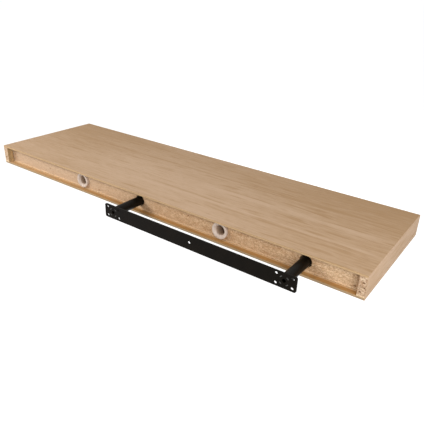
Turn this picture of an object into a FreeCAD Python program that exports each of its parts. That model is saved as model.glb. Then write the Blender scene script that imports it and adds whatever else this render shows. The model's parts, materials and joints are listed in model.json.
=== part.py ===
import FreeCAD, Part
import os
from math import cos, degrees, pi, sin, sqrt

# Floating wall shelf: a hollow oak-look board that slides on to a black steel wall bracket.
# Millimetres. The origin is the centre of the bracket's wall face, +X runs along the shelf,
# +Y points into the wall and +Z is up. The board is drawn part-way off the bracket's pegs.

# Overall size of the board
shelf_length = 800.0
shelf_depth = 235.0
shelf_thickness = 38.0
edge_radius = 1.0

# Sheets that cover the frame
foil_thickness = 0.4
band_thickness = 0.8
skin_thickness = 3.0

# Chipboard frame
end_rail_width = 11.0
front_rail_width = 18.0
back_rail_width = 18.0
inner_rail_width = 18.0
rail_setback = 11.0

# Paper core
core_cell_pitch = 34.0
core_paper = 0.8
core_clearance = 0.3
core_least_cell = 6.0

# Staples across the joints of the frame
staple_crown = 12.0
staple_leg = 13.0
staple_width = 1.2
staple_wire = 0.7

# Steel strip of the bracket
strip_thickness = 2.5
strip_height = 24.0
strip_end_margin = 6.25
strip_corner_radius = 3.0
screw_hole_diameter = 4.5
screw_spacing_x = 25.0
screw_spacing_z = 15.0
middle_hole_diameter = 5.0
sight_hole_diameter = 6.0

# Tube pegs of the bracket
peg_pitch = 320.0
peg_diameter = 16.0
peg_wall = 1.5
peg_length = 72.5
peg_tip_chamfer = 0.8
tab_count = 4
tab_angle = 32.0
tab_clearance = 0.1

# How the board sits on the pegs
peg_clearance = 0.3
peg_bore_flare = 1.3
peg_bore_flare_depth = 9.0
peg_tip_bearing = 12.5
rest_engagement = 11.5
bracket_offset = 147.0

# Plastic sleeves in the board
sleeve_diameter = 28.0
sleeve_fit = 0.15
sleeve_proud = 4.0
sleeve_flare = 2.2
sleeve_flare_depth = 3.0

# Two lengths closer than this are taken as the same
rounding_limit = 1e-6

# Levels and depths that follow from the sizes above
sheet = foil_thickness + skin_thickness
top_z = shelf_thickness / 2
frame_top_z = top_z - sheet
frame_height = 2 * frame_top_z
peg_radius = peg_diameter / 2
peg_bore_radius = peg_radius + peg_clearance
peg_reach = strip_thickness + peg_length
rest_gap = peg_reach - rail_setback - rest_engagement

back_y = -rest_gap
front_y = back_y - shelf_depth
back_rail_y = back_y - rail_setback
inner_rail_y = back_y - peg_reach + peg_tip_bearing
inner_rail_front_y = inner_rail_y - inner_rail_width
front_rail_front_y = front_y + sheet
front_rail_y = front_rail_front_y + front_rail_width

board_x = bracket_offset
left_x = board_x + shelf_length / 2 - band_thickness
right_x = board_x - shelf_length / 2 + band_thickness
rail_left_x = left_x - end_rail_width
rail_right_x = right_x + end_rail_width
peg_places = {"left": peg_pitch / 2, "right": -peg_pitch / 2}
sleeve_places = {side: board_x + place for side, place in peg_places.items()}


def block(x_from, x_to, y_from, y_to, z_from, z_to):
    """A box between two levels on each axis."""
    low = FreeCAD.Vector(min(x_from, x_to), min(y_from, y_to), min(z_from, z_to))
    return Part.makeBox(abs(x_to - x_from), abs(y_to - y_from), abs(z_to - z_from), low)


def rod(radius, x, y_from, y_to):
    """A round bar along Y at the height of the pegs."""
    return Part.makeCylinder(radius, y_to - y_from, FreeCAD.Vector(x, y_from, 0), FreeCAD.Vector(0, 1, 0))


def flare(x, mouth_y, widening, depth):
    """The cone that widens a peg's bore towards its mouth."""
    root = FreeCAD.Vector(x, mouth_y - depth, 0)
    return Part.makeCone(peg_bore_radius, peg_bore_radius + widening, depth, root, FreeCAD.Vector(0, 1, 0))


def prism_along_x(points, x_from, x_to):
    """A straight-sided outline in Y and Z, drawn out along X."""
    corners = [FreeCAD.Vector(x_from, y, z) for y, z in points]
    face = Part.Face(Part.makePolygon(corners + corners[:1]))
    return face.extrude(FreeCAD.Vector(x_to - x_from, 0, 0))


def board_body(inset, x_from, x_to):
    """The board's rounded outline, inset from its top, front and underside, drawn out along X."""
    height = shelf_thickness - 2 * inset
    body = block(x_from, x_to, front_y + inset, back_y, -height / 2, height / 2)
    radius = edge_radius - inset
    if radius <= 0:
        return body
    front_edges = [edge for edge in body.Edges if is_long_front_edge(edge, front_y + inset)]
    return body.makeFillet(radius, front_edges)


def same(first, second):
    """Whether two lengths agree within what rounding leaves."""
    return abs(first - second) < rounding_limit


def is_long_front_edge(edge, y):
    """Whether an edge runs along X in the front plane."""
    box = edge.BoundBox
    return same(box.YLength, 0) and same(box.ZLength, 0) and same(box.YMin, y)


def foil_wrap():
    """Foil folded over the top, the front and the underside."""
    return board_body(0, right_x, left_x).cut(board_body(foil_thickness, right_x, left_x))


def end_band(outer_x, inner_x):
    """Edge band over one end of the board."""
    return board_body(0, outer_x, inner_x)


def folded_panel(points):
    """One leaf of the folded hardboard panel, with its corners rounded as the foil is."""
    leaf = prism_along_x(points, right_x, left_x)
    return leaf.common(board_body(foil_thickness, right_x, left_x))


def skin(side):
    """Top (side 1) or bottom (side -1) skin, mitred along the front."""
    outer_z = side * (top_z - foil_thickness)
    inner_z = side * frame_top_z
    outer_front = front_y + foil_thickness
    return folded_panel([
        (back_y, outer_z),
        (outer_front, outer_z),
        (front_rail_front_y, inner_z),
        (back_y, inner_z),
    ])


def front_panel():
    """Front leaf between the two mitres."""
    outer_front = front_y + foil_thickness
    outer_z = top_z - foil_thickness
    return folded_panel([
        (outer_front, outer_z),
        (outer_front, -outer_z),
        (front_rail_front_y, -frame_top_z),
        (front_rail_front_y, frame_top_z),
    ])


def frame_bar(x_from, x_to, y_from, y_to):
    """A chipboard bar that fills the height between the skins."""
    return block(x_from, x_to, y_from, y_to, -frame_top_z, frame_top_z)


def bored_rail(y_rear, width):
    """A rail along the shelf with its peg bores and sleeve holes."""
    rail = frame_bar(rail_right_x, rail_left_x, y_rear - width, y_rear)
    for x in peg_places.values():
        rail = rail.cut(rod(peg_bore_radius, x, y_rear - width, y_rear))
        rail = rail.cut(flare(x, y_rear, peg_bore_flare, peg_bore_flare_depth))
    for x in sleeve_places.values():
        rail = rail.cut(rod(sleeve_diameter / 2 + sleeve_fit, x, y_rear - width, y_rear))
    return rail


def sleeve(x):
    """A plastic tube from just behind the back rail's face to the far side of the inner rail."""
    mouth_y = back_rail_y + sleeve_proud
    tube = rod(sleeve_diameter / 2, x, inner_rail_front_y, mouth_y)
    tube = tube.cut(rod(peg_bore_radius, x, inner_rail_front_y, mouth_y))
    return tube.cut(flare(x, mouth_y, sleeve_flare, sleeve_flare_depth))


def clipped(points, axis, limit, sign):
    """A convex outline cut off where its coordinate passes a limit."""
    kept = []
    for start, end in zip(points, points[1:] + points[:1]):
        start_room = sign * (limit - start[axis])
        end_room = sign * (limit - end[axis])
        if start_room >= 0:
            kept.append(start)
        if start_room * end_room < 0:
            share = start_room / (start_room - end_room)
            kept.append(tuple(a + share * (b - a) for a, b in zip(start, end)))
    return kept


def core_cell(centre_x, centre_y, x_low, x_high, y_low, y_high):
    """Outline of one six-sided cell, cut off at the core's rim, or nothing where too little is left."""
    reach = (core_cell_pitch - core_paper) / sqrt(3)
    corners = [(centre_x + reach * sin(pi * k / 3), centre_y + reach * cos(pi * k / 3)) for k in range(6)]
    for axis, limit, sign in ((0, x_low, -1), (0, x_high, 1), (1, y_low, -1), (1, y_high, 1)):
        corners = clipped(corners, axis, limit, sign)
        if not corners:
            return None
    spans = [max(c[axis] for c in corners) - min(c[axis] for c in corners) for axis in (0, 1)]
    if min(spans) < core_least_cell:
        return None
    points = [FreeCAD.Vector(x, y, -frame_top_z) for x, y in corners]
    return Part.makePolygon(points + points[:1])


def honeycomb_core():
    """Paper honeycomb between the inner rail and the front rail, as one sheet with six-sided gaps."""
    x_low = rail_right_x + core_clearance
    x_high = rail_left_x - core_clearance
    y_low = front_rail_y + core_clearance
    y_high = inner_rail_front_y - core_clearance
    inner = (x_low + core_paper, x_high - core_paper, y_low + core_paper, y_high - core_paper)
    row_step = core_cell_pitch * sqrt(3) / 2
    rows = int((y_high - y_low) / row_step / 2) + 1
    columns = int((x_high - x_low) / core_cell_pitch / 2) + 1
    cells = []
    for row in range(-rows, rows + 1):
        for column in range(-columns, columns + 1):
            x = (x_low + x_high) / 2 + (column + (row % 2) / 2) * core_cell_pitch
            y = (y_low + y_high) / 2 + row * row_step
            cell = core_cell(x, y, *inner)
            if cell:
                cells.append(cell)
    rim = [(x_low, y_low), (x_high, y_low), (x_high, y_high), (x_low, y_high)]
    rim_points = [FreeCAD.Vector(x, y, -frame_top_z) for x, y in rim]
    outlines = [Part.makePolygon(rim_points + rim_points[:1])] + cells
    sheet_face = Part.makeFace(outlines, "Part::FaceMakerBullseye")
    return sheet_face.extrude(FreeCAD.Vector(0, 0, frame_height))


def staple(joint_x, y, side):
    """One wire staple across a joint, its crown flush with the frame's top or underside."""
    crown_z = side * frame_top_z
    half = staple_crown / 2
    y_from = y - staple_width / 2
    y_to = y + staple_width / 2
    wire = block(joint_x - half, joint_x + half, y_from, y_to, crown_z - side * staple_wire, crown_z)
    for leg_x in (joint_x - half, joint_x + half - staple_wire):
        leg = block(leg_x, leg_x + staple_wire, y_from, y_to, crown_z - side * staple_leg, crown_z)
        wire = wire.fuse(leg)
    return wire.removeSplitter()


def frame_staples():
    """Staples over both faces of every joint between an end rail and a cross rail."""
    rail_middles = (
        back_rail_y - back_rail_width / 2,
        inner_rail_y - inner_rail_width / 2,
        front_rail_y - front_rail_width / 2,
    )
    return [
        staple(joint_x, middle, side)
        for joint_x in (rail_left_x, rail_right_x)
        for middle in rail_middles
        for side in (1, -1)
    ]


def ring_sector(inner_radius, outer_radius, middle_angle, angle, x, y_from, y_to):
    """Part of a ring about a peg's axis."""
    length = y_to - y_from
    up = FreeCAD.Vector(0, 0, 1)
    origin = FreeCAD.Vector(0, 0, 0)
    sector = Part.makeCylinder(outer_radius, length, origin, up, angle)
    sector = sector.cut(Part.makeCylinder(inner_radius, length, origin, up))
    sector.rotate(origin, up, middle_angle - angle / 2)
    sector.rotate(origin, FreeCAD.Vector(1, 0, 0), -90)
    sector.translate(FreeCAD.Vector(x, y_from, 0))
    return sector


def tab_middle_angles():
    """Where a peg's tabs stand round its axis, none of them straight up."""
    step = 360.0 / tab_count
    return [step * (k + 0.5) for k in range(tab_count)]


def peg(x):
    """A tube with tabs on its wall end that fill slots in the strip."""
    inner_radius = peg_radius - peg_wall
    tube = rod(peg_radius, x, -peg_reach, -strip_thickness)
    tip_edges = [edge for edge in tube.Edges if same(edge.BoundBox.YMax, -peg_reach)]
    tube = tube.makeChamfer(peg_tip_chamfer, tip_edges)
    tube = tube.cut(rod(inner_radius, x, -peg_reach, -strip_thickness))
    for middle_angle in tab_middle_angles():
        tab = ring_sector(inner_radius, peg_radius, middle_angle, tab_angle, x, -strip_thickness, 0)
        tube = tube.fuse(tab)
    return tube.removeSplitter()


def tab_slots(x):
    """Slots in the strip for one peg's tabs."""
    inner_radius = peg_radius - peg_wall - tab_clearance
    outer_radius = peg_radius + tab_clearance
    slot_angle = tab_angle + degrees(2 * tab_clearance / peg_radius)
    return [
        ring_sector(inner_radius, outer_radius, middle_angle, slot_angle, x, -strip_thickness, 0)
        for middle_angle in tab_middle_angles()
    ]


def wall_strip():
    """Flat strip with screw holes about each peg, tab slots, sight holes and a middle hole."""
    half_length = (peg_pitch + screw_spacing_x) / 2 + strip_end_margin
    half_height = strip_height / 2
    strip = block(-half_length, half_length, -strip_thickness, 0, -half_height, half_height)
    corner_edges = [edge for edge in strip.Edges if same(edge.BoundBox.YLength, strip_thickness)]
    strip = strip.makeFillet(strip_corner_radius, corner_edges)
    strip = strip.cut(rod(middle_hole_diameter / 2, 0, -strip_thickness, 0))
    for x in peg_places.values():
        strip = strip.cut(rod(sight_hole_diameter / 2, x, -strip_thickness, 0))
        strip = strip.cut(tab_slots(x))
        for side_x in (-1, 1):
            for side_z in (-1, 1):
                hole = rod(screw_hole_diameter / 2, x + side_x * screw_spacing_x / 2, -strip_thickness, 0)
                hole.translate(FreeCAD.Vector(0, 0, side_z * screw_spacing_z / 2))
                strip = strip.cut(hole)
    return strip


def all_parts():
    """Every piece of the shelf by name."""
    staples = frame_staples()
    parts = {
        "foil_wrap": foil_wrap(),
        "left_end_band": end_band(left_x, left_x + band_thickness),
        "right_end_band": end_band(right_x, right_x - band_thickness),
        "top_skin": skin(1),
        "front_panel": front_panel(),
        "bottom_skin": skin(-1),
        "left_end_rail": frame_bar(rail_left_x, left_x, front_rail_front_y, back_y),
        "right_end_rail": frame_bar(right_x, rail_right_x, front_rail_front_y, back_y),
        "front_rail": frame_bar(rail_right_x, rail_left_x, front_rail_front_y, front_rail_y),
        "back_rail": bored_rail(back_rail_y, back_rail_width),
        "inner_rail": bored_rail(inner_rail_y, inner_rail_width),
        "honeycomb_core": honeycomb_core(),
        "wall_strip": wall_strip(),
    }
    for name in ("left_end_rail", "right_end_rail", "front_rail", "back_rail", "inner_rail"):
        parts[name] = parts[name].cut(staples)
    parts["frame_staples"] = Part.makeCompound(staples)
    for side, x in sleeve_places.items():
        parts[side + "_sleeve"] = sleeve(x)
    for side, x in peg_places.items():
        parts[side + "_peg"] = peg(x)
    return parts


os.makedirs("parts", exist_ok=True)
for part_name, shape in all_parts().items():
    shape.exportStep("parts/" + part_name + ".step")
    print(part_name, "solids", len(shape.Solids), "volume", round(shape.Volume), "valid", shape.isValid())
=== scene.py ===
"""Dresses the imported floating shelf: an oak-look board, its chipboard frame and its black wall bracket."""

import json
from math import cos, degrees, pi, radians, sin

import bmesh
import bpy
from bpy.props import FloatProperty, FloatVectorProperty, PointerProperty
from bpy.types import Operator, Panel, PropertyGroup
from mathutils import Matrix, Vector, noise


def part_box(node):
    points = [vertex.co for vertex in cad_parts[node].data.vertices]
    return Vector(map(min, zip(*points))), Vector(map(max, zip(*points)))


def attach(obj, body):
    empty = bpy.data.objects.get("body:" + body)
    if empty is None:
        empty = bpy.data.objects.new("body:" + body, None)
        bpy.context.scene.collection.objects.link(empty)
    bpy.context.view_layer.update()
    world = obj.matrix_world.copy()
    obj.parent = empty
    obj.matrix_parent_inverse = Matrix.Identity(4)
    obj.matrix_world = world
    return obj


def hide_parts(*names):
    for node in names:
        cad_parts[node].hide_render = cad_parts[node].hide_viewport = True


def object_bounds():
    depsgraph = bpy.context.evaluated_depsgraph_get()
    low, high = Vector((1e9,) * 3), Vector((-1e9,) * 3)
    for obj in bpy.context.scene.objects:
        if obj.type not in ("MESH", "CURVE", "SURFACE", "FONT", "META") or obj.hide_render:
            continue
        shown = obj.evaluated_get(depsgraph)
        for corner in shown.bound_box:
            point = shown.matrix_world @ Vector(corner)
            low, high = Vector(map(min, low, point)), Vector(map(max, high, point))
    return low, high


bl_info = {
    "name": "Floating shelf",
    "version": (1, 0, 0),
    "blender": (4, 5, 0),
    "location": "View3D > Sidebar > Shelf",
    "description": "Builds an oak-look floating shelf and its black steel wall bracket",
    "category": "Object",
}

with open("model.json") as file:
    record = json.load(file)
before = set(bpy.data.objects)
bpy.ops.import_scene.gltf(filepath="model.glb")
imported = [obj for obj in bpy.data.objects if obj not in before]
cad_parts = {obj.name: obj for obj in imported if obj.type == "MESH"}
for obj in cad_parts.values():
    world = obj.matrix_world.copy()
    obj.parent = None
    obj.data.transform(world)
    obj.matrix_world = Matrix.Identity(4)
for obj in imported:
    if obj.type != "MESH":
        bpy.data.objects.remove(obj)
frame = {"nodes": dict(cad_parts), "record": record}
cad_low, cad_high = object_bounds()

SIDES = ("left", "right")
MILLIMETRE = 0.001
WHITE = (1.0, 1.0, 1.0, 1.0)
# Edges that turn by more than this stay sharp
SHARP_ANGLE = radians(35)
# Points closer than this are one point, as a mesh is made and after a cut
SAME_POINT = 1e-6
SAME_POINT_AFTER_CUT = 1e-5
# Straight steps in folds and peg tips, in band edges, in sleeve lips, and in strip corners and tabs
FOLD_STEPS = 6
BAND_STEPS = 4
LIP_STEPS = 5
CORNER_STEPS = 8
# Straight steps round a hole in the strip, round a sleeve, and round a peg or a drill
HOLE_STEPS = 40
SLEEVE_STEPS = 96
PEG_STEPS = 72


def middle(node):
    """The middle of a node's box."""
    low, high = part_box(node)
    return (low + high) / 2


def half_width(node):
    """Half of a node's width along X, which is the radius of a round one."""
    low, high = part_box(node)
    return (high.x - low.x) / 2


def mount_sizes(name):
    """The dimensions of one of the part's mounts, in millimetres."""
    return next(mount["dims"] for mount in frame["record"]["mounts"] if mount["name"] == name)


def tone(red, green, blue):
    """A colour written as it looks on a screen, from 0 to 255, as linear light."""
    shares = [value / 255 for value in (red, green, blue)]
    return [share / 12.92 if share <= 0.04045 else ((share + 0.055) / 1.055) ** 2.4 for share in shares]


def times(values, factor):
    """The parts of a colour or a size, each times a factor."""
    return [factor * value for value in values]


# Settings of the pieces

def number_setting(name, description, default, **kind):
    """A number that a user may change, with its unit or subtype."""
    return FloatProperty(name=name, description=description, default=default, **kind)


def length_setting(name, description, default):
    """A size in metres that a user may change."""
    return number_setting(name, description, default, min=0.0, unit="LENGTH", precision=5)


def point_setting(name, description, default):
    """A place in metres that a user may change."""
    return FloatVectorProperty(name=name, description=description, default=default, unit="LENGTH")


def colour_setting(name, description, default):
    """A colour that a user may change."""
    return FloatVectorProperty(
        name=name, description=description, default=default, size=3, min=0.0, max=1.0, subtype="COLOR"
    )


class BoardSettings(PropertyGroup):
    """Sizes and colours of the board."""

    fold_radius: length_setting("Fold radius", "Outer radius of the foil's folds along the front", 0.001)
    band_round: length_setting("Band rounding", "Rounding of the end bands' outer edges", 0.00035)
    edge_round: length_setting("Sawn edge rounding", "Rounding of the hardboard's sawn edges", 0.00025)
    bore_flare: length_setting("Bore flare", "How far a peg's bore widens at its mouth", 0.0013)
    bore_flare_depth: length_setting("Bore flare depth", "How deep the widening reaches", 0.009)
    sleeve_gap: length_setting("Sleeve gap", "Room round a sleeve in the rail", 0.00015)
    flake_relief: length_setting("Flake relief", "Height of the sawn flakes' relief", 0.00035)
    flake_pitch: length_setting("Flake mesh pitch", "Spacing of the points that carry the relief", 0.0014)
    pit_radius: length_setting("Pit radius", "Radius of the voids torn out by the saw", 0.0024)
    pit_depth: length_setting("Pit depth", "Depth of those voids", 0.0030)
    oak_pale: colour_setting("Pale oak", "Lightest tone of the oak print", tone(199, 168, 138))
    oak_deep: colour_setting("Deep oak", "Darkest tone of the oak print", tone(172, 137, 98))
    oak_pore: colour_setting("Oak pores", "Tone of the short dark pores", tone(139, 105, 75))
    chip_pale: colour_setting("Pale flakes", "Lightest flakes of the chipboard", tone(232, 202, 165))
    chip_deep: colour_setting("Deep flakes", "Darkest flakes of the chipboard", tone(174, 131, 90))
    # Dark tone of the gaps and crumbs between flakes, also used as painted shade in the torn voids and near
    # the rail's ends
    chip_gap_and_painted_shade: colour_setting("Gaps between flakes", "Tone of gaps, and of painted shade in voids and at the rail's ends", tone(128, 88, 52))
    chip_side: colour_setting("Pressed side", "Tone of the end rails' pressed sides", tone(166, 138, 92))
    # Painted light: a pale colour laid along the foot of the rail and on the skins next to it, where that
    # corner would lie in shade
    foot_painted_light: colour_setting("Painted foot light", "Pale colour painted as light along the foot of the rail", tone(246, 216, 176))
    grey_dust: colour_setting("Grey dust", "Thin dust on the sawn faces", tone(208, 194, 180))
    hardboard_face: colour_setting("Hardboard face", "Amber inner face of the hardboard", tone(180, 134, 80))
    hardboard_edge: colour_setting("Hardboard top edge", "Pale sawn edge of the top", tone(198, 165, 124))
    hardboard_low_edge: colour_setting("Hardboard low edge", "Sawn edge of the bottom", tone(172, 146, 112))
    core_paper: colour_setting("Core paper", "Brown paper of the core", tone(178, 144, 104))
    staple_wire: colour_setting("Staple wire", "Bright wire of the staples", tone(190, 188, 184))


class SleeveSettings(PropertyGroup):
    """Sizes and colours of the plastic sleeves."""

    flare: length_setting("Flare", "How far the bore widens at its mouth", 0.0022)
    flare_depth: length_setting("Flare depth", "How deep the widening reaches", 0.003)
    lip_round: length_setting("Lip rounding", "Rounding of the moulded edges", 0.0005)
    plastic: colour_setting("Plastic", "Off-white moulded plastic", tone(207, 188, 173))
    # Painted shade: brown laid deeper in the sleeve's bore, where the hollow lies in shade
    bore_painted_shade: colour_setting("Bore painted shade", "Brown painted shade deeper in the bore", tone(168, 139, 112))


class BracketSettings(PropertyGroup):
    """Sizes and colours of the steel bracket."""

    edge_round: length_setting("Edge rounding", "Rounding of the strip's cut edges", 0.0003)
    corner_radius: length_setting("Corner radius", "Radius of the strip's corners", 0.003)
    sight_hole: length_setting("Sight hole", "Diameter of the holes on the pegs' axes", 0.006)
    peg_wall: length_setting("Peg wall", "Wall of the peg's tube", 0.0015)
    tip_round: length_setting("Tip rounding", "Rounding of the peg's free end", 0.0008)
    tab_gap: length_setting("Tab gap", "Room round a tab in its slot", 0.0001)
    tab_dome: length_setting("Tab dome", "How far the hammered tab ends are rounded", 0.0004)
    tab_angle: number_setting("Tab angle", "How far a tab goes round the peg", radians(32), subtype="ANGLE")
    paint: colour_setting("Paint", "Black powder coat", tone(14, 10, 6))
    worn: colour_setting("Worn paint", "Grey of the hammered tab ends", tone(92, 90, 88))


class StageSettings(PropertyGroup):
    """Camera, lights and floor."""

    camera_place: point_setting("Camera place", "Where the camera stands", (-0.3950, 0.4994, 0.3571))
    camera_target: point_setting("Camera target", "What the camera points at", (0.1469, -0.2636, -0.0918))
    camera_roll: number_setting("Camera roll", "Turn about the view", radians(2.12), subtype="ANGLE")
    lens: number_setting("Lens", "Focal length of the camera", 41.64, unit="CAMERA")
    floor_drop: length_setting("Floor drop", "How far the floor lies under the shelf", 0.30)
    floor_glow: number_setting("Floor glow", "How much white the floor adds where it is seen", 0.80)
    key_power: number_setting("Key power", "Power of the light on the left", 9.8, unit="POWER")
    fill_power: number_setting("Fill power", "Power of the light on the right", 9.9, unit="POWER")
    front_power: number_setting("Front power", "Power of the front light", 5.0, unit="POWER")
    sky_level: number_setting("Sky level", "Strength of the even light all round", 0.48)


# Finishes

class Finish:
    """A material, with short calls for the nodes that the finishes share."""

    def __init__(self, name):
        self.material = bpy.data.materials.new(name)
        self.material.use_nodes = True
        self.nodes = self.material.node_tree.nodes
        self.links = self.material.node_tree.links
        self.surface = self.nodes["Principled BSDF"]

    def feed(self, socket, value):
        """Links an output to a socket, or sets the socket to a plain value."""
        if isinstance(value, bpy.types.NodeSocket):
            self.links.new(value, socket)
        else:
            socket.default_value = value

    def set(self, **values):
        """Feeds the surface's sockets, named with underscores for spaces."""
        for name, value in values.items():
            self.feed(self.surface.inputs[name.replace("_", " ")], value)

    def place(self):
        """Where a point lies on the object, in metres."""
        return self.nodes.new("ShaderNodeTexCoord").outputs["Object"]

    def sheet_place(self):
        """Where a point lies on a sheet: metres along the grain, then across it."""
        made = self.nodes.new("ShaderNodeUVMap")
        made.uv_map = "grain"
        return made.outputs["UV"]

    def facing(self):
        """Which way a point of the surface faces, in three parts."""
        return self.split(self.nodes.new("ShaderNodeNewGeometry").outputs["Normal"])

    def vectors(self, operation, first, second):
        """One sum on two vectors."""
        made = self.nodes.new("ShaderNodeVectorMath")
        made.operation = operation
        self.feed(made.inputs[0], first)
        self.feed(made.inputs[1], second)
        return made.outputs[0]

    def scaled(self, vector, scale):
        """A vector stretched along each axis."""
        return self.vectors("MULTIPLY", vector, scale)

    def split(self, vector):
        """The three parts of a vector."""
        made = self.nodes.new("ShaderNodeSeparateXYZ")
        self.feed(made.inputs[0], vector)
        return made.outputs

    def joined(self, x, y, z=0.0):
        """A vector from three parts."""
        made = self.nodes.new("ShaderNodeCombineXYZ")
        for socket, value in zip(made.inputs, (x, y, z)):
            self.feed(socket, value)
        return made.outputs[0]

    def math(self, operation, first, second=0.0, third=0.0):
        """One sum on plain numbers."""
        made = self.nodes.new("ShaderNodeMath")
        made.operation = operation
        for socket, value in zip(made.inputs, (first, second, third)):
            self.feed(socket, value)
        return made.outputs[0]

    def product(self, first, *others):
        """Several numbers multiplied."""
        for other in others:
            first = self.math("MULTIPLY", first, other)
        return first

    def noise(self, vector, scale, detail, roughness=0.5):
        """Soft noise between 0 and 1, on a vector stretched along each axis."""
        made = self.nodes.new("ShaderNodeTexNoise")
        self.feed(made.inputs["Vector"], self.scaled(vector, scale))
        self.feed(made.inputs["Scale"], 1.0)
        self.feed(made.inputs["Detail"], detail)
        self.feed(made.inputs["Roughness"], roughness)
        return made.outputs[0]

    def cells(self, vector, output="Color", feature="F1"):
        """Broken cells: one output of the cell pattern."""
        made = self.nodes.new("ShaderNodeTexVoronoi")
        made.feature = feature
        self.feed(made.inputs["Vector"], vector)
        self.feed(made.inputs["Scale"], 1.0)
        return made.outputs[output]

    def spread(self, value, low, high, to_low=0.0, to_high=1.0):
        """A value mapped smoothly from one span to another, held at both ends."""
        made = self.nodes.new("ShaderNodeMapRange")
        made.interpolation_type = "SMOOTHSTEP"
        sockets = ("Value", "From Min", "From Max", "To Min", "To Max")
        for name, number in zip(sockets, (value, low, high, to_low, to_high)):
            self.feed(made.inputs[name], number)
        return made.outputs[0]

    def blend(self, share, first, second):
        """Two colours mixed by a share."""
        made = self.nodes.new("ShaderNodeMix")
        made.data_type = "RGBA"
        self.feed(made.inputs[0], share)
        for socket, colour in ((made.inputs[6], first), (made.inputs[7], second)):
            self.feed(socket, colour if isinstance(colour, bpy.types.NodeSocket) else (*colour, 1.0))
        return made.outputs[2]

    def bump(self, height, depth):
        """Small relief of a given depth in metres."""
        made = self.nodes.new("ShaderNodeBump")
        self.feed(made.inputs["Distance"], depth)
        self.feed(made.inputs["Height"], height)
        return made.outputs[0]


# Layers of the oak print: scale along and across the grain, detail, roughness, share of the tone
OAK_LAYERS = {
    "bands": (3.2, 24, 2, 0.5, 0.40),
    "lines": (19, 270, 3, 0.65, 0.45),
    "flecks": (62, 360, 2, 0.6, 0.30),
    "fibre": (34, 1500, 2, 0.5, 0.12),
}
# Long streaks of the print: place from the front, tilt, half width, start and end along X, how pale
OAK_STREAKS = (
    (0.079, 0.0, 0.0022, -0.20, 0.52, -0.55),
    (0.086, -0.045, 0.0026, -0.26, 0.06, -0.6),
    (0.131, 0.0, 0.0055, -0.26, 0.11, 0.5),
    (0.147, 0.0, 0.0035, 0.36, 0.47, -0.5),
    (0.174, 0.012, 0.0026, 0.02, 0.20, -0.6),
    (0.180, -0.01, 0.0022, -0.26, 0.24, 0.55),
    (0.187, -0.006, 0.0022, -0.26, 0.06, -0.5),
    (0.218, 0.0, 0.0040, 0.04, 0.24, -0.45),
)
# Length over which a streak begins and ends, and how far a full streak shifts the tone
STREAK_FADE = 0.05
STREAK_SHIFT = 0.36


def oak_streaks(finish, along, across, lines, depth):
    """Adds the long streaks to the depth of the print's tone."""
    broken = finish.spread(lines, 0.25, 0.6, 0.5, 1.0)
    for from_front, tilt, half, start, end, paleness in OAK_STREAKS:
        line = finish.math("MULTIPLY_ADD", along, tilt, across)
        off = finish.math("ABSOLUTE", finish.math("SUBTRACT", line, from_front))
        mark = finish.product(
            finish.spread(off, 0.0, 2 * half, 1.0, 0.0),
            finish.spread(along, start, start + STREAK_FADE),
            finish.spread(along, end - STREAK_FADE, end, 1.0, 0.0),
            broken,
        )
        depth = finish.math("MULTIPLY_ADD", mark, -STREAK_SHIFT * paleness, depth)
    return depth


def oak_foil(look):
    """Matt oak print with slow tone bands, growth lines, long streaks and short dark pores, in painted shade
    towards the front fold and the ends.
    """
    finish = Finish("oak_print")
    sheet = finish.sheet_place()
    along, across, _ = finish.split(sheet)
    sway = finish.noise(sheet, (4, 14, 1), 2)
    grain = finish.joined(along, finish.math("MULTIPLY_ADD", sway, 0.012, across))
    from_middle = finish.math("ABSOLUTE", finish.math("SUBTRACT", along, middle("foil_wrap").x))
    # Painted shade: the print is darker towards the front fold and towards both ends, and a little lighter in
    # the middle, standing in for the light falling off
    front_painted_shade = finish.spread(across, 0.02, 0.16, 0.24, 0.0)
    ends_painted_shade = finish.spread(from_middle, 0.05, 0.33, -0.06, 0.10)
    depth = finish.math("ADD", front_painted_shade, ends_painted_shade)
    layers = {}
    for name, (lengthwise, crosswise, detail, roughness, share) in OAK_LAYERS.items():
        layers[name] = finish.noise(grain, (lengthwise, crosswise, 1), detail, roughness)
        depth = finish.math("MULTIPLY_ADD", layers[name], share, depth)
    lines, fibre = layers["lines"], layers["fibre"]
    thin = finish.spread(finish.noise(grain, (12, 120, 1), 1), 0.57, 0.68)
    cluster = finish.spread(along, 0.5, 0.0, 0.35, 1.0)
    depth = finish.math("MULTIPLY_ADD", finish.product(thin, cluster), 0.20, depth)
    depth = oak_streaks(finish, along, across, lines, depth)
    body = finish.blend(finish.spread(depth, 0.38, 1.10), look.oak_pale, look.oak_deep)
    pores = finish.spread(finish.noise(grain, (95, 1150, 1), 1), 0.60, 0.72)
    pore_share = finish.product(pores, finish.spread(lines, 0.45, 0.65), 0.55)
    finish.set(
        Base_Color=finish.blend(pore_share, body, look.oak_pore),
        Roughness=finish.spread(lines, 0.2, 0.8, 0.50, 0.62),
        Specular_IOR_Level=0.16,
        Normal=finish.bump(finish.math("SUBTRACT", finish.product(fibre, 0.5), pores), 0.00006),
    )
    return finish.material


# The two cuts of chipboard: the back rail's fine sawn face, and the end rails' coarse sawn ends
FINE_CUT = {
    "name": "sawn_chipboard",
    "node": "back_rail",
    "fineness": 2.4,
    "contrast": 0.66,
    "deep_right": 0.34,
    "deep_rest": 0.62,
    "least_dust": 0.0,
    "painted_corner_shade": 0.40,
}
COARSE_CUT = {
    "name": "coarse_chipboard",
    "node": "left_end_rail",
    "fineness": 1.6,
    "contrast": 1.35,
    "deep_right": 0.70,
    "deep_rest": 0.66,
    "least_dust": 0.24,
    "painted_corner_shade": 0.0,
}
# Share of grey dust at the board's left end
LEFT_DUST = 0.22


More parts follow.
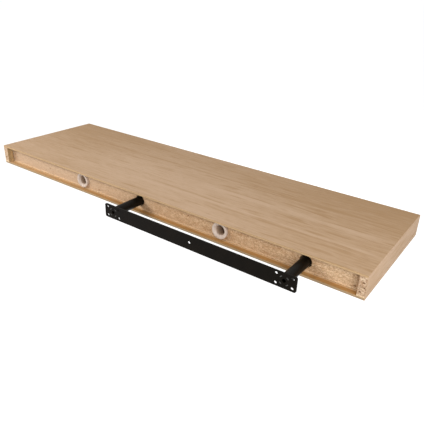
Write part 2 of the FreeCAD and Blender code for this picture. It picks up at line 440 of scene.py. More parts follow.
def rail_corner_painted_shade(finish, along, right_end, left_end, strength):
    """Painted shade on the rail near its ends, beside the end rails, short of the left corner."""
    reach, full, ebb, clear = 0.022, 0.008, 0.007, 0.003
    left = finish.product(
        finish.spread(along, left_end - reach, left_end - full, 0.0, strength),
        finish.spread(along, left_end - ebb, left_end - clear, 1.0, 0.0),
    )
    right = finish.spread(along, right_end + 0.002, right_end + 0.018, 0.85 * strength, 0.0)
    return finish.math("MAXIMUM", left, right)


def crumb_specks(finish, flakes):
    """Where a dark crumb lies between the flakes."""
    crumbs = finish.scaled(flakes, (0.82, 0.82, 0.60))
    chosen = finish.spread(finish.split(finish.cells(crumbs))[2], 0.50, 0.60)
    return finish.product(finish.spread(finish.cells(crumbs, "Distance"), 0.10, 0.28, 0.8, 0.0), chosen)


def void_painted_shade(finish, inward, sawn_face):
    """Painted shade where a void opens in the sawn face: deeper than the flakes, but not at the bar's other
    faces.
    """
    shallow, deep, near_floor, floor = 0.0010, 0.0024, 0.0038, 0.0045
    sunk = finish.spread(inward, sawn_face - deep, sawn_face - shallow, 0.80, 0.0)
    near = finish.spread(inward, sawn_face - floor, sawn_face - near_floor)
    return finish.product(sunk, near, finish.spread(finish.facing()[1], 0.25, 0.45))


def chipboard(look, name, node, fineness, contrast, deep_right, deep_rest, least_dust, painted_corner_shade):
    """Sawn chipboard: flakes of mixed tones and sizes, dust, dark gaps, plain pressed sides, painted shade in
    voids and at the rail's ends, and painted light at the foot and the sides' corner.
    """
    finish = Finish(name)
    place = finish.place()
    along, inward, level = finish.split(place)
    stir = finish.product(finish.noise(place, (260, 260, 260), 2), 1.6)
    flakes = finish.scaled(place, times((150, 150, 300), fineness))
    flakes = finish.vectors("ADD", flakes, finish.joined(stir, stir, stir))
    coarse = finish.split(finish.cells(flakes))[0]
    splinters = finish.split(finish.cells(finish.scaled(flakes, (0.42, 0.42, 1.15))))[0]
    fine = finish.split(finish.cells(finish.scaled(place, (520, 520, 760))))[1]
    grit = finish.noise(place, (1900, 1900, 2600), 2)
    mixed = finish.product(coarse, 0.36)
    for pattern, part in ((splinters, 0.20), (fine, 0.38), (grit, 0.16)):
        mixed = finish.math("MULTIPLY_ADD", pattern, part, mixed)
    strength = finish.spread(along, -0.2, 0.45, 1.15 * contrast, 0.4 * contrast)
    ground = finish.spread(along, -0.21, -0.15, deep_right, deep_rest)
    flake_tone = finish.math("SUBTRACT", finish.spread(mixed, 0.1, 0.98), 0.5)
    deep_share = finish.math("MULTIPLY_ADD", flake_tone, strength, ground)
    body = finish.blend(deep_share, look.chip_pale, look.chip_deep)
    low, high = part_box("back_rail")
    marks = (
        (finish.spread(along, 0.05, 0.40, least_dust, max(least_dust, LEFT_DUST)), look.grey_dust),
        # Painted shade near the rail's ends, beside the end rails, where the corners would lie in shade
        (rail_corner_painted_shade(finish, along, low.x, high.x, painted_corner_shade), look.chip_gap_and_painted_shade),
        # Painted light: a pale band along the foot of the faces, where the corner with the bottom skin would
        # be in shade
        (finish.spread(level, low.z + 0.0008, low.z + 0.0036, 0.75, 0.0), look.foot_painted_light),
        (crumb_specks(finish, flakes), look.chip_gap_and_painted_shade),
        # Painted shade in the torn voids, darker the deeper they go
        (void_painted_shade(finish, inward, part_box(node)[1].y), look.chip_gap_and_painted_shade),
    )
    for share, colour in marks:
        body = finish.blend(share, body, colour)
    side = finish.spread(finish.math("ABSOLUTE", finish.facing()[0]), 0.6, 0.9)
    # Painted light: the pressed sides grow paler towards the rail, standing in for light bounced into the
    # corner
    corner_painted_light = finish.spread(inward, high.y, high.y + 0.008, 1.0, 0.0)
    side_tone_with_painted_light = finish.blend(corner_painted_light, look.chip_side, times(look.chip_side, 1.7))
    body = finish.blend(finish.product(side, 0.75), body, side_tone_with_painted_light)
    rim = finish.cells(flakes, "Distance", "DISTANCE_TO_EDGE")
    gaps = finish.product(finish.spread(rim, 0.015, 0.09, 1.0, 0.0), finish.spread(fine, 0.3, 0.8))
    finish.set(
        Base_Color=finish.blend(finish.product(gaps, strength, 0.5), body, look.chip_gap_and_painted_shade),
        Roughness=finish.spread(coarse, 0.0, 1.0, 0.62, 0.85),
        Specular_IOR_Level=0.25,
        Normal=finish.bump(finish.math("MULTIPLY_ADD", gaps, -0.4, mixed), 0.00025),
    )
    return finish.material


def hardboard(look, name, edge_tone):
    """Hardboard with an amber pressed face and pale fibrous edges, and painted light beside the rail."""
    finish = Finish(name)
    place = finish.place()
    along, inward, _ = finish.split(place)
    cloud = finish.noise(place, (28, 60, 60), 4)
    speck = finish.noise(place, (900, 900, 900), 2)
    fibre = finish.noise(place, (240, 1600, 2400), 2)
    shade = finish.math("MULTIPLY_ADD", speck, 0.4, finish.product(cloud, 0.6))
    deep_face = times(look.hardboard_face, 0.74)
    face = finish.blend(finish.spread(shade, 0.3, 0.75), look.hardboard_face, deep_face)
    face = finish.blend(finish.spread(along, 0.15, 0.50, 0.0, 0.55), face, look.hardboard_edge)
    rail_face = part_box("back_rail")[1].y
    # Painted light: a pale band on the skins just beside the rail, where that corner would be in shade
    dust = finish.spread(inward, rail_face + 0.0006, rail_face + 0.0030, 0.7, 0.0)
    face = finish.blend(dust, face, look.foot_painted_light)
    sawn = finish.blend(finish.spread(fibre, 0.35, 0.7), edge_tone, times(edge_tone, 0.80))
    edge = finish.spread(finish.math("ABSOLUTE", finish.facing()[1]), 0.5, 0.9)
    finish.set(
        Base_Color=finish.blend(edge, face, sawn),
        Roughness=finish.spread(shade, 0.3, 0.75, 0.55, 0.72),
        Specular_IOR_Level=0.28,
        Normal=finish.bump(finish.math("ADD", speck, fibre), 0.00008),
    )
    return finish.material


def core_paper(look):
    """Brown kraft paper with visible fibres."""
    finish = Finish("kraft_paper")
    fibre = finish.noise(finish.place(), (700, 700, 180), 3)
    deep = times(look.core_paper, 0.7)
    finish.set(
        Base_Color=finish.blend(finish.spread(fibre, 0.3, 0.7), look.core_paper, deep),
        Roughness=finish.spread(fibre, 0.3, 0.7, 0.75, 0.9),
        Specular_IOR_Level=0.2,
        Normal=finish.bump(fibre, 0.00008),
    )
    return finish.material


def staple_wire(look):
    """Bright drawn wire with fine lines and a little tarnish."""
    finish = Finish("drawn_wire")
    place = finish.place()
    drawn = finish.noise(place, (200, 9000, 9000), 2)
    tarnish = finish.spread(finish.noise(place, (300, 300, 300), 3), 0.45, 0.75)
    finish.set(
        Base_Color=finish.blend(tarnish, look.staple_wire, times(look.staple_wire, 0.55)),
        Metallic=1.0,
        Roughness=finish.spread(drawn, 0.2, 0.8, 0.25, 0.45),
        Normal=finish.bump(drawn, 0.00002),
    )
    return finish.material


def white_plastic(look):
    """Moulded off-white plastic, a little uneven, with painted shade deeper in the bore."""
    finish = Finish("moulded_plastic")
    place = finish.place()
    flow = finish.noise(place, (90, 40, 90), 3)
    grain = finish.noise(place, (2600, 2600, 2600), 2)
    body = finish.blend(finish.spread(flow, 0.35, 0.7), look.plastic, times(look.plastic, 0.88))
    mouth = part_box("left_sleeve")[1].y
    # Painted shade: darker brown the deeper a point lies in the bore
    inside = finish.spread(finish.split(place)[1], mouth - 0.008, mouth - 0.001, 0.8, 0.0)
    finish.set(
        Base_Color=finish.blend(inside, body, look.bore_painted_shade),
        Roughness=finish.spread(grain, 0.2, 0.8, 0.36, 0.50),
        Specular_IOR_Level=0.4,
        Normal=finish.bump(grain, 0.00002),
    )
    return finish.material


def black_paint(look, name, gloss):
    """Satin black powder coat with fine orange peel and faint rub marks."""
    finish = Finish(name)
    place = finish.place()
    peel = finish.noise(place, (1500, 1500, 1500), 2)
    cloud = finish.noise(place, (45, 45, 45), 4)
    rub = finish.noise(place, (60, 900, 900), 3, 0.6)
    uneven = finish.spread(cloud, 0.3, 0.7, 0.36, 0.44)
    rubbed = finish.spread(rub, 0.5, 0.8, 0.0, 0.1)
    finish.set(
        Base_Color=finish.blend(finish.spread(cloud, 0.35, 0.75), look.paint, times(look.paint, 1.5)),
        Roughness=finish.math("ADD", uneven, rubbed),
        Specular_IOR_Level=gloss,
        Normal=finish.bump(peel, 0.00005),
    )
    return finish.material


def worn_paint(look):
    """Hammered tab ends, where the paint is thin over the steel."""
    finish = Finish("worn_coat")
    scuff = finish.noise(finish.place(), (900, 900, 900), 4, 0.65)
    finish.set(
        Base_Color=finish.blend(finish.spread(scuff, 0.42, 0.66), look.worn, look.paint),
        Metallic=finish.spread(scuff, 0.42, 0.66, 0.6, 0.0),
        Roughness=finish.spread(scuff, 0.35, 0.7, 0.34, 0.55),
        Specular_IOR_Level=0.3,
        Normal=finish.bump(scuff, 0.00015),
    )
    return finish.material


def oak_material(look):
    """The oak print, made once and shared by the wrap and the end bands."""
    return bpy.data.materials.get("oak_print") or oak_foil(look)


def chip_material(look):
    """The fine chipboard, made once and shared by the back rail and the two bars inside."""
    return bpy.data.materials.get(FINE_CUT["name"]) or chipboard(look, **FINE_CUT)


# Shared mesh work

def spaced(low, high, steps):
    """Evenly spaced values, both ends included."""
    return [low + (high - low) * k / steps for k in range(steps + 1)]


def arc(centre, radius, start, end, steps):
    """Points on an arc between two angles in degrees, both ends included."""
    turns = [radians(angle) for angle in spaced(start, end, steps)]
    return [(centre[0] + radius * cos(turn), centre[1] + radius * sin(turn)) for turn in turns]


def circle(centre, radius):
    """Points round a hole, the first not repeated."""
    return arc(centre, radius, 0, 360, HOLE_STEPS)[:-1]


def rounded_rectangle(low, high, radius, steps):
    """A rectangle with round corners."""
    corners = (
        ((high[0] - radius, high[1] - radius), 0),
        ((low[0] + radius, high[1] - radius), 90),
        ((low[0] + radius, low[1] + radius), 180),
        ((high[0] - radius, low[1] + radius), 270),
    )
    return [point for centre, start in corners for point in arc(centre, radius, start, start + 90, steps)]


def bridged(build, rings, looped=False, closed=True):
    """Faces from each ring of points to the next, and from the last to the first if looped."""
    faces = []
    following = rings[1:] + rings[:1] if looped else rings[1:]
    for ring, after in zip(rings, following):
        count = len(ring)
        for k in range(count if closed else count - 1):
            beside = (k + 1) % count
            faces.append(build.faces.new((ring[k], after[k], after[beside], ring[beside])))
    return faces


def turned(build, profile, centre_x, steps):
    """Rings of points: an outline of radius and Y, turned about a line along Y at the height of the pegs."""
    rings = []
    for k in range(steps):
        turn = 2 * pi * k / steps
        rings.append([build.verts.new((centre_x + r * cos(turn), y, r * sin(turn))) for r, y in profile])
    return rings


def smooth(mesh):
    """Shades a mesh smooth but for its sharp edges."""
    mesh.shade_smooth()
    mesh.set_sharp_from_angle(angle=SHARP_ANGLE)


def made_piece(name, build, material):
    """A piece from a bmesh, smooth but for its sharp edges, with its large faces kept flat."""
    bmesh.ops.recalc_face_normals(build, faces=build.faces[:])
    mesh = bpy.data.meshes.new(name)
    build.to_mesh(mesh)
    build.free()
    smooth(mesh)
    mesh.materials.append(material)
    piece = bpy.data.objects.new(name, mesh)
    bpy.context.scene.collection.objects.link(piece)
    weighted = piece.modifiers.new("flat_faces", "WEIGHTED_NORMAL")
    weighted.keep_sharp = True
    return piece


def evaluated_mesh(thing):
    """A new mesh of an object as its modifiers or its curve settings make it."""
    bpy.context.view_layer.update()
    return bpy.data.meshes.new_from_object(thing.evaluated_get(bpy.context.evaluated_depsgraph_get()))


def stand_for(piece, node):
    """Lets a piece take the place of a CAD node on the node's own body."""
    for body, members in frame["record"]["behaviour"]["bodies"].items():
        if node in members:
            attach(piece, body)
    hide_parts(node)


def dress(node, material):
    """Gives a CAD node that keeps its own mesh a finish."""
    for slot in frame["nodes"][node].material_slots:
        slot.material = material


def swept_along_x(name, outline, x_from, x_to, material):
    """A closed outline in Y and Z drawn out along X, with its grain laid along X and round the outline."""
    build = bmesh.new()
    grain = build.loops.layers.uv.new("grain")
    ends = [[build.verts.new((x, y, z)) for y, z in outline] for x in (x_from, x_to)]
    walked = [0.0]
    for start, end in zip(outline, outline[1:] + outline[:1]):
        walked.append(walked[-1] + (Vector(end) - Vector(start)).length)
    for face, near, far in zip(bridged(build, ends), walked, walked[1:]):
        for loop, place in zip(face.loops, ((x_from, near), (x_to, near), (x_to, far), (x_from, far))):
            loop[grain].uv = place
    for end in ends:
        for loop in build.faces.new(end).loops:
            loop[grain].uv = (loop.vert.co.y, loop.vert.co.z)
    return made_piece(name, build, material)


def lathed(name, profile, centre_x, steps, material):
    """A turned piece with a closed outline of radius and Y."""
    build = bmesh.new()
    bridged(build, turned(build, profile, centre_x, steps), looped=True)
    return made_piece(name, build, material)


# Pieces of the board

class SHELF_OT_oak_wrap(Operator):
    """Makes the oak-look foil that is folded over the top, the front and the underside."""

    bl_idname = "shelf.oak_wrap"
    bl_label = "Oak wrap"

    def execute(self, context):
        look = context.scene.shelf_board
        low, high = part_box("foil_wrap")
        foil = high.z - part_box("top_skin")[1].z
        radius = look.fold_radius
        upper = (low.y + radius, high.z - radius)
        lower = (low.y + radius, low.z + radius)
        outline = [(high.y, high.z)]
        outline += arc(upper, radius, 90, 180, FOLD_STEPS)
        outline += arc(lower, radius, 180, 270, FOLD_STEPS)
        outline += [(high.y, low.z), (high.y, low.z + foil)]
        outline += arc(lower, radius - foil, 270, 180, FOLD_STEPS)
        outline += arc(upper, radius - foil, 180, 90, FOLD_STEPS)
        outline += [(high.y, high.z - foil)]
        wrap = swept_along_x("oak_wrap", outline, low.x, high.x, oak_material(look))
        for uv in wrap.data.uv_layers["grain"].data:
            uv.uv[1] = (high.y - low.y) - uv.uv[1]
        stand_for(wrap, "foil_wrap")
        return {"FINISHED"}


class SHELF_OT_end_bands(Operator):
    """Makes the oak-look bands over both ends of the board, with softened outer edges."""

    bl_idname = "shelf.end_bands"
    bl_label = "End bands"

    # Which stretch of the print each band is cut from, in metres across the grain
    print_place = {"left": 0.6, "right": 0.9}
    least_radius = 0.0002

    def execute(self, context):
        look = context.scene.shelf_board
        for side in SIDES:
            node = side + "_end_band"
            band = self.band(side + "_oak_band", node, self.print_place[side], look)
            stand_for(band, node)
        return {"FINISHED"}

    def outline(self, low, high, inset, look):
        """The band's outline in Y and Z, drawn in by an inset."""
        radius = max(look.fold_radius - inset, self.least_radius)
        front, back = low.y + inset, high.y - inset
        bottom, top = low.z + inset, high.z - inset
        points = [(back, top)]
        points += arc((front + radius, top - radius), radius, 90, 180, FOLD_STEPS)
        points += arc((front + radius, bottom + radius), radius, 180, 270, FOLD_STEPS)
        return points + [(back, bottom)]

    def band(self, name, node, print_place, look):
        """One band as a stack of outlines that draw in over the rounded edge."""
        low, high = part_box(node)
        board_x = middle("foil_wrap").x
        outward = 1 if low.x > board_x else -1
        inner_x, outer_x = (low.x, high.x) if outward > 0 else (high.x, low.x)
        layers = [(inner_x, 0.0)]
        for up, inward in arc((0.0, 0.0), look.band_round, 0, 90, BAND_STEPS):
            layers.append((outer_x - outward * (look.band_round - inward), look.band_round - up))
        build = bmesh.new()
        grain = build.loops.layers.uv.new("grain")
        rings = []
        for x, inset in layers:
            rings.append([build.verts.new((x, y, z)) for y, z in self.outline(low, high, inset, look)])
        bridged(build, rings)
        build.faces.new(rings[0])
        build.faces.new(rings[-1])
        start = board_x - middle(node).y
        for face in build.faces:
            for loop in face.loops:
                loop[grain].uv = (start + loop.vert.co.y, print_place + loop.vert.co.z)
        return made_piece(name, build, oak_material(look))


class SHELF_OT_hardboard_panel(Operator):
    """Makes the hardboard's top and bottom skins with softened sawn edges, and finishes its front leaf."""

    bl_idname = "shelf.hardboard_panel"
    bl_label = "Hardboard panel"

    def execute(self, context):
        look = context.scene.shelf_board
        upper = hardboard(look, "upper_hardboard", look.hardboard_edge)
        lower = hardboard(look, "lower_hardboard", look.hardboard_low_edge)
        dress("front_panel", upper)
        self.skin("top_leaf", "top_skin", 1, upper, look.edge_round)
        self.skin("bottom_leaf", "bottom_skin", -1, lower, look.edge_round)
        return {"FINISHED"}

    def skin(self, name, node, up, material, soft):
        """One skin, mitred at the front and softened along its sawn back edge."""
        low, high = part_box(node)
        outer, inner = (high.z, low.z) if up > 0 else (low.z, high.z)
        outline = [
            (low.y, outer),
            (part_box("front_rail")[0].y, inner),
            (high.y - soft, inner),
            (high.y, inner + up * soft),
            (high.y, outer - up * soft),
            (high.y - soft, outer),
        ]
        stand_for(swept_along_x(name, outline, low.x, high.x, material), node)


# Voids of the sawn faces: node, then place from the face's middle along X and up, in metres
PITS = {
    "back_rail": (
        (-0.3812, -0.0104),
        (0.3782, -0.0004),
        (-0.301, 0.006),
        (0.118, -0.0105),
        (-0.094, 0.0045),
        (0.262, -0.004),
    ),
    "left_end_rail": ((0.001, -0.006),),
    "right_end_rail": ((-0.0008, 0.0052), (0.0022, -0.0094), (-0.0025, -0.0018)),
}
# How much wider than high a void is
PIT_STRETCH = 1.3
# Flakes in a metre along X and up, and how quickly the level changes from one to the next
FLAKES_ALONG = 170
FLAKES_UP = 330
FLAKE_CHANGE = 3.7
LEAST_COLUMNS = 16


def flake_depth(x, z, node, look, centre):
    """How far a sawn face lies back at a point: flakes at uneven levels, and a few torn voids."""
    own_pattern = len(node)
    _, nearest = noise.voronoi(Vector((x * FLAKES_ALONG, z * FLAKES_UP, own_pattern)))
    depth = look.flake_relief * (0.5 + 0.5 * noise.noise(nearest[0] * FLAKE_CHANGE))
    for pit_x, pit_z in PITS[node]:
        off = Vector((x - centre.x - pit_x, (z - centre.z - pit_z) * PIT_STRETCH)).length
        depth += look.pit_depth * max(0.0, 1 - (off / look.pit_radius) ** 2)
    return depth


def sawn_bar(name, node, look, material):
    """A chipboard bar whose sawn rear face carries the relief of its flakes."""
    low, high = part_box(node)
    centre = (low + high) / 2
    pitch = min(look.flake_pitch, (high.x - low.x) / LEAST_COLUMNS)
    columns = round((high.x - low.x) / pitch)
    rows = round((high.z - low.z) / pitch)
    build = bmesh.new()
    grid = []
    for k, x in enumerate(spaced(low.x, high.x, columns)):
        line = []
        for j, z in enumerate(spaced(low.z, high.z, rows)):
            inside = 0 < k < columns and 0 < j < rows
            depth = flake_depth(x, z, node, look, centre) if inside else 0.0
            line.append(build.verts.new((x, high.y - depth, z)))
        grid.append(line)
    bmesh.ops.triangulate(build, faces=bridged(build, grid, closed=False))
    # The corners at each end of the plain front, the lower one first
    right, left = [[build.verts.new((x, low.y, z)) for z in (low.z, high.z)] for x in (low.x, high.x)]
    build.faces.new(right + left[::-1])
    build.faces.new([line[0] for line in grid] + [left[0], right[0]])
    build.faces.new([line[-1] for line in grid] + [left[1], right[1]])
    build.faces.new(grid[0] + right[::-1])
    build.faces.new(grid[-1] + left[::-1])
    return made_piece(name, build, material)


class SHELF_OT_end_rails(Operator):
    """Makes the two end rails, whose sawn ends show at the back edge."""

    bl_idname = "shelf.end_rails"
    bl_label = "End rails"

    def execute(self, context):
        look = context.scene.shelf_board
        coarse = chipboard(look, **COARSE_CUT)
        for side in SIDES:
            node = side + "_end_rail"
            stand_for(sawn_bar(side + "_sawn_rail", node, look, coarse), node)
        return {"FINISHED"}


class SHELF_OT_back_rail(Operator):
    """Makes the back rail with its peg bores and the holes for the sleeves."""

    bl_idname = "shelf.back_rail"
    bl_label = "Back rail"

    # How far a drill reaches past the rail's faces, in metres
    past = 0.002

    def execute(self, context):
        look = context.scene.shelf_board
        rail = sawn_bar("bored_rail", "back_rail", look, chip_material(look))
        low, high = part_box("back_rail")
        start, end = low.y - self.past, high.y + self.past
        bore = mount_sizes("left_sleeve_bore")["r_mm"] * MILLIMETRE
        slope = look.bore_flare / look.bore_flare_depth
        mouth = bore + look.bore_flare + slope * self.past
        peg_drill = [(bore, start), (bore, high.y - look.bore_flare_depth), (mouth, end)]
        sleeve_hole = half_width("left_sleeve") + look.sleeve_gap
        sleeve_drill = [(sleeve_hole, start), (sleeve_hole, end)]
        for side in SIDES:
            self.cut(rail, peg_drill, middle(side + "_peg").x)
            self.cut(rail, sleeve_drill, middle(side + "_sleeve").x)
        self.join_doubles(rail)
        smooth(rail.data)
        stand_for(rail, "back_rail")
        return {"FINISHED"}

    def cut(self, rail, profile, x):
        """Cuts one turned hole through the rail."""
        build = bmesh.new()
        rings = turned(build, profile, x, PEG_STEPS)
        bridged(build, rings, looped=True, closed=False)
        build.faces.new([ring[0] for ring in rings])
        build.faces.new([ring[-1] for ring in rings])
        drill = made_piece("drill", build, rail.data.materials[0])
        cutting = rail.modifiers.new("bore", "BOOLEAN")
        cutting.operation = "DIFFERENCE"
        cutting.solver = "EXACT"
        cutting.object = drill
        rail.modifiers.move(len(rail.modifiers) - 1, 0)
        rail.modifiers["flat_faces"].show_viewport = False
        cut_mesh = evaluated_mesh(rail)
        if len(cut_mesh.polygons) == len(rail.data.polygons):
            raise RuntimeError("A hole wasn't cut through the back rail")
        rail.modifiers.remove(cutting)
        rail.modifiers["flat_faces"].show_viewport = True
        rail.data = cut_mesh
        bpy.data.objects.remove(drill)

    def join_doubles(self, rail):
        """Joins the points that the cuts leave all but on top of each other."""
        build = bmesh.new()
        build.from_mesh(rail.data)
        bmesh.ops.remove_doubles(build, verts=build.verts[:], dist=SAME_POINT_AFTER_CUT)
        bmesh.ops.dissolve_degenerate(build, edges=build.edges[:], dist=SAME_POINT)
        build.to_mesh(rail.data)
        build.free()


class SHELF_OT_inner_frame(Operator):
    """Finishes the frame inside: inner rail, front rail, paper core and staples."""

    bl_idname = "shelf.inner_frame"
    bl_label = "Inner frame"

    def execute(self, context):
        look = context.scene.shelf_board
        dress("inner_rail", chip_material(look))
        dress("front_rail", chip_material(look))
        dress("honeycomb_core", core_paper(look))
        dress("frame_staples", staple_wire(look))
        return {"FINISHED"}


class SHELF_OT_sleeves(Operator):
    """Makes the two moulded sleeves, with a flared mouth and rounded lips."""

    bl_idname = "shelf.sleeves"
    bl_label = "Sleeves"

    def execute(self, context):
        look = context.scene.shelf_sleeve
        material = white_plastic(look)
        for side in SIDES:
            node = side + "_sleeve"
            profile = self.profile(node, look)
            sleeve = lathed(side + "_white_sleeve", profile, middle(node).x, SLEEVE_STEPS, material)
            stand_for(sleeve, node)
        return {"FINISHED"}

    def profile(self, node, look):
        """A sleeve's outline: its inner end, its bore, the flared mouth and the outer lip."""
        low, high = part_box(node)
        outer = half_width(node)
        lip = look.lip_round
        bore = mount_sizes("left_sleeve_bore")["r_mm"] * MILLIMETRE
        mouth = bore + look.flare
        points = [(outer, low.y + lip), (outer - lip, low.y), (bore + lip, low.y), (bore, low.y + lip)]
        for share in (0.0, 0.3, 0.6):
            points.append((bore + look.flare * share, high.y - look.flare_depth * (1 - share)))
        # The flare turns over into the flat rim in three short steps
        points += [(mouth - 0.25 * lip, high.y - 0.8 * lip), (mouth + 0.35 * lip, high.y - 0.2 * lip)]
        points += [(mouth + lip, high.y)]
        return points + arc((outer - lip, high.y - lip), lip, 90, 0, LIP_STEPS)


# Pieces of the bracket

# Shine of the paint on the flat strip and on the drawn tubes
STRIP_GLOSS = 0.05
TUBE_GLOSS = 0.09
# Where a peg's four tabs stand round its axis, in radians
TAB_TURNS = [pi / 4 + k * pi / 2 for k in range(4)]


def ring_sector(centre, inner, outer, turn, angle):
    """Outline of part of a ring."""
    start, end = degrees(turn - angle / 2), degrees(turn + angle / 2)
    return arc(centre, outer, start, end, CORNER_STEPS) + arc(centre, inner, end, start, CORNER_STEPS)


class SHELF_OT_wall_strip(Operator):
    """Makes the steel strip with its screw holes, sight holes and tab slots, all with rounded edges."""

    bl_idname = "shelf.wall_strip"
    bl_label = "Wall strip"

    def execute(self, context):
        look = context.scene.shelf_bracket
        low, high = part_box("wall_strip")
        outlines = [rounded_rectangle((low.x, low.z), (high.x, high.z), look.corner_radius, CORNER_STEPS)]
        outlines.append(circle((0.0, 0.0), mount_sizes("middle_screw_hole")["r_mm"] * MILLIMETRE))
        for name in ("outer_screw_holes", "inner_screw_holes"):
            outlines += self.screw_holes(mount_sizes(name))
        for side in SIDES:
            outlines += self.peg_cuts(side + "_peg", look)
        strip = self.plate("black_strip", outlines, low.y, high.y, look)
        stand_for(strip, "wall_strip")
        return {"FINISHED"}

    def screw_holes(self, sizes):
        """Outlines of four screw holes on a rectangle."""
        half_x = sizes["spacing_x_mm"] * MILLIMETRE / 2
        half_z = sizes["spacing_y_mm"] * MILLIMETRE / 2
        radius = sizes["hole_r_mm"] * MILLIMETRE
        return [circle((x, z), radius) for x in (-half_x, half_x) for z in (-half_z, half_z)]

    def peg_cuts(self, node, look):
        """Outlines of one peg's sight hole and tab slots."""
        centre = (middle(node).x, 0.0)
        outer = half_width(node) + look.tab_gap
        inner = half_width(node) - look.peg_wall - look.tab_gap
        angle = look.tab_angle + 2 * look.tab_gap / outer
        slots = [ring_sector(centre, inner, outer, turn, angle) for turn in TAB_TURNS]
        return slots + [circle(centre, look.sight_hole / 2)]

    def plate(self, name, outlines, y_from, y_to, look):
        """A flat plate from outlines in X and Z, the first its rim and the rest its holes."""
        curve = bpy.data.curves.new(name, "CURVE")
        curve.dimensions = "2D"
        curve.fill_mode = "BOTH"
        curve.bevel_depth = look.edge_round
        curve.bevel_resolution = 2
        curve.offset = -look.edge_round
        curve.extrude = (y_to - y_from) / 2 - look.edge_round
        for outline in outlines:
            spline = curve.splines.new("POLY")
            spline.points.add(len(outline) - 1)
            for point, (x, z) in zip(spline.points, outline):
                point.co = (x, z, 0.0, 1.0)
            spline.use_cyclic_u = True
        flat = bpy.data.objects.new(name + "_outline", curve)
        bpy.context.scene.collection.objects.link(flat)
        mesh = evaluated_mesh(flat)
        bpy.data.objects.remove(flat)
        build = bmesh.new()
        build.from_mesh(mesh)
        bpy.data.meshes.remove(mesh)
        build.transform(Matrix.Translation((0.0, (y_from + y_to) / 2, 0.0)) @ Matrix.Rotation(pi / 2, 4, "X"))
        bmesh.ops.remove_doubles(build, verts=build.verts[:], dist=SAME_POINT)
        return made_piece(name, build, black_paint(look, "powder_coat", STRIP_GLOSS))


class SHELF_OT_pegs(Operator):
    """Makes the two tube pegs with rounded tips and hammered tabs through the strip."""

    bl_idname = "shelf.pegs"
    bl_label = "Pegs"

    def execute(self, context):
        look = context.scene.shelf_bracket
        worn = worn_paint(look)
        coat = black_paint(look, "tube_coat", TUBE_GLOSS)
        strip_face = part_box("wall_strip")[0].y
        for side in SIDES:
            node = side + "_peg"
            low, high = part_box(node)
            outer = half_width(node)
            inner = outer - look.peg_wall
            tip = look.tip_round
            deburred = 0.3 * tip
            profile = [(inner, strip_face), (inner, low.y + deburred), (inner + deburred, low.y)]
            profile += arc((outer - tip, low.y + tip), tip, 270, 360, FOLD_STEPS)
            profile += [(outer, strip_face)]
            tube = lathed(side + "_black_peg", profile, middle(node).x, PEG_STEPS, coat)
            tube.data.materials.append(worn)
            self.add_tabs(tube, middle(node).x, inner, outer, strip_face, high.y, look)
            stand_for(tube, node)
        return {"FINISHED"}

    def add_tabs(self, tube, x, inner, outer, y_from, y_to, look):
        """Adds the four tabs, their ends hammered into low domes and worn."""
        build = bmesh.new()
        build.from_mesh(tube.data)
        dome = look.tab_dome
        # Places along Y, and how far the outline is drawn in there
        layers = ((y_from, 0.0), (y_to - dome, 0.0), (y_to - 0.35 * dome, 0.3 * dome), (y_to, dome))
        for turn in TAB_TURNS:
            rings = []
            for y, draw_in in layers:
                angle = look.tab_angle - 2 * draw_in / outer
                outline = ring_sector((x, 0.0), inner + draw_in, outer - draw_in, turn, angle)
                rings.append([build.verts.new((point_x, y, point_z)) for point_x, point_z in outline])
            for face in bridged(build, rings) + [build.faces.new(rings[-1])]:
                face.material_index = 1
            build.faces.new(rings[0])
        bmesh.ops.recalc_face_normals(build, faces=build.faces[:])
        build.to_mesh(tube.data)
        build.free()
        smooth(tube.data)


# Stage

# Lamps: name, place from the board's middle, then width and height, in metres
LAMPS = (
    ("key", (0.78, 0.85, 0.58), (0.45, 0.30)),
    ("fill", (-1.05, 0.65, 0.43), (0.95, 0.60)),
    ("front", (0.20, -1.30, -0.10), (0.90, 0.30)),
)
FLOOR_HALF_SIZE = 40.0
FLOOR_GREY = (0.45, 0.45, 0.45, 1.0)
CAMERA_REACH = 100.0


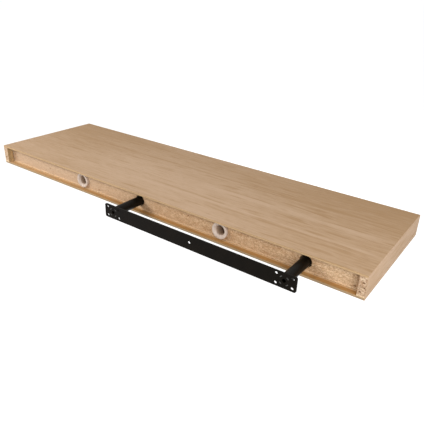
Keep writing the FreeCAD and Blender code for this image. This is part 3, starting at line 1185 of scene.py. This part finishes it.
class SHELF_OT_stage(Operator):
    """Sets the camera, the soft lights, the white surround and the pale floor."""

    bl_idname = "shelf.stage"
    bl_label = "Stage"

    def execute(self, context):
        look = context.scene.shelf_stage
        context.scene.view_settings.view_transform = "Standard"
        self.camera(context, look)
        self.surround(context, look)
        self.floor(look)
        board = middle("foil_wrap")
        for name, offset, size in LAMPS:
            self.soft_light(name, board + Vector(offset), board, size, getattr(look, name + "_power"))
        return {"FINISHED"}

    def camera(self, context, look):
        """The camera, turned a little about its view."""
        place = Vector(look.camera_place)
        forward = (Vector(look.camera_target) - place).normalized()
        level = forward.cross(Vector((0, 0, 1))).normalized()
        upright = level.cross(forward)
        right = cos(look.camera_roll) * level + sin(look.camera_roll) * upright
        up = cos(look.camera_roll) * upright - sin(look.camera_roll) * level
        data = bpy.data.cameras.new("camera")
        data.lens = look.lens
        data.clip_end = CAMERA_REACH
        camera = bpy.data.objects.new("camera", data)
        aim = Matrix((right, up, -forward)).transposed().to_4x4()
        camera.matrix_world = Matrix.Translation(place) @ aim
        context.scene.collection.objects.link(camera)
        context.scene.camera = camera

    def seen_directly(self, tree):
        """One where a ray comes from the camera, a mirror or glass, and nothing for soft light."""
        rays = tree.nodes.new("ShaderNodeLightPath")
        total = rays.outputs["Is Camera Ray"]
        for name in ("Is Glossy Ray", "Is Transmission Ray"):
            most = tree.nodes.new("ShaderNodeMath")
            most.operation = "MAXIMUM"
            tree.links.new(total, most.inputs[0])
            tree.links.new(rays.outputs[name], most.inputs[1])
            total = most.outputs[0]
        return total

    def surround(self, context, look):
        """A white surround that lights the object at a plain level."""
        world = bpy.data.worlds.new("surround")
        world.use_nodes = True
        tree = world.node_tree
        background = tree.nodes["Background"]
        background.inputs["Color"].default_value = WHITE
        level = tree.nodes.new("ShaderNodeMapRange")
        tree.links.new(self.seen_directly(tree), level.inputs["Value"])
        level.inputs["To Min"].default_value = look.sky_level
        level.inputs["To Max"].default_value = 1.0
        tree.links.new(level.outputs[0], background.inputs["Strength"])
        context.scene.world = world

    def floor(self, look):
        """A wide pale floor that shows white and keeps the object's soft shadow."""
        level = cad_low.z - look.floor_drop
        half = FLOOR_HALF_SIZE
        build = bmesh.new()
        corners = ((-half, -half), (half, -half), (half, half), (-half, half))
        build.faces.new([build.verts.new((x, y, level)) for x, y in corners])
        mesh = bpy.data.meshes.new("floor")
        build.to_mesh(mesh)
        build.free()
        finish = Finish("pale_floor")
        glow = finish.product(self.seen_directly(finish.material.node_tree), look.floor_glow)
        finish.set(
            Base_Color=FLOOR_GREY,
            Roughness=1.0,
            Specular_IOR_Level=0.0,
            Emission_Color=WHITE,
            Emission_Strength=glow,
        )
        self.clear_from_below(finish)
        mesh.materials.append(finish.material)
        floor = bpy.data.objects.new("floor", mesh)
        bpy.context.scene.collection.objects.link(floor)

    def clear_from_below(self, finish):
        """Lets the floor be looked through from its back side, so that the shelf's underside can be seen."""
        below = finish.nodes.new("ShaderNodeNewGeometry").outputs["Backfacing"]
        clear = finish.nodes.new("ShaderNodeBsdfTransparent")
        either = finish.nodes.new("ShaderNodeMixShader")
        for socket, output in zip(either.inputs, (below, finish.surface.outputs[0], clear.outputs[0])):
            finish.links.new(output, socket)
        finish.links.new(either.outputs[0], finish.nodes["Material Output"].inputs["Surface"])

    def soft_light(self, name, place, target, size, power):
        """A large rectangular lamp pointed at a target."""
        data = bpy.data.lights.new(name, "AREA")
        data.shape = "RECTANGLE"
        data.size, data.size_y = size
        data.energy = power
        lamp = bpy.data.objects.new(name, data)
        lamp.location = place
        lamp.visible_camera = False
        lamp.rotation_euler = (target - place).to_track_quat("-Z", "Y").to_euler()
        bpy.context.scene.collection.objects.link(lamp)


class SHELF_PT_panel(Panel):
    """Lists the shelf's settings and the steps that build it."""

    bl_idname = "SHELF_PT_panel"
    bl_label = "Floating shelf"
    bl_space_type = "VIEW_3D"
    bl_region_type = "UI"
    bl_category = "Shelf"

    def draw(self, context):
        for step in STEPS:
            self.layout.operator(step.bl_idname)
        for name in SETTINGS:
            box = self.layout.box()
            settings = getattr(context.scene, name)
            for key in settings.bl_rna.properties.keys():
                if key not in ("rna_type", "name"):
                    box.prop(settings, key)


SETTINGS = {
    "shelf_board": BoardSettings,
    "shelf_sleeve": SleeveSettings,
    "shelf_bracket": BracketSettings,
    "shelf_stage": StageSettings,
}
STEPS = (
    SHELF_OT_oak_wrap,
    SHELF_OT_end_bands,
    SHELF_OT_hardboard_panel,
    SHELF_OT_end_rails,
    SHELF_OT_back_rail,
    SHELF_OT_inner_frame,
    SHELF_OT_sleeves,
    SHELF_OT_wall_strip,
    SHELF_OT_pegs,
    SHELF_OT_stage,
)


def register():
    """Adds the settings, the steps and the panel."""
    for name, settings in SETTINGS.items():
        bpy.utils.register_class(settings)
        setattr(bpy.types.Scene, name, PointerProperty(type=settings))
    for step in STEPS:
        bpy.utils.register_class(step)
    bpy.utils.register_class(SHELF_PT_panel)


def unregister():
    """Takes the panel, the steps and the settings away again."""
    bpy.utils.unregister_class(SHELF_PT_panel)
    for step in reversed(STEPS):
        bpy.utils.unregister_class(step)
    for name, settings in reversed(SETTINGS.items()):
        delattr(bpy.types.Scene, name)
        bpy.utils.unregister_class(settings)


def main():
    """Builds the shelf step by step."""
    register()
    bpy.ops.shelf.oak_wrap()
    bpy.ops.shelf.end_bands()
    bpy.ops.shelf.hardboard_panel()
    bpy.ops.shelf.end_rails()
    bpy.ops.shelf.back_rail()
    bpy.ops.shelf.inner_frame()
    bpy.ops.shelf.sleeves()
    bpy.ops.shelf.wall_strip()
    bpy.ops.shelf.pegs()
    bpy.ops.shelf.stage()


if __name__ == "__main__":
    main()
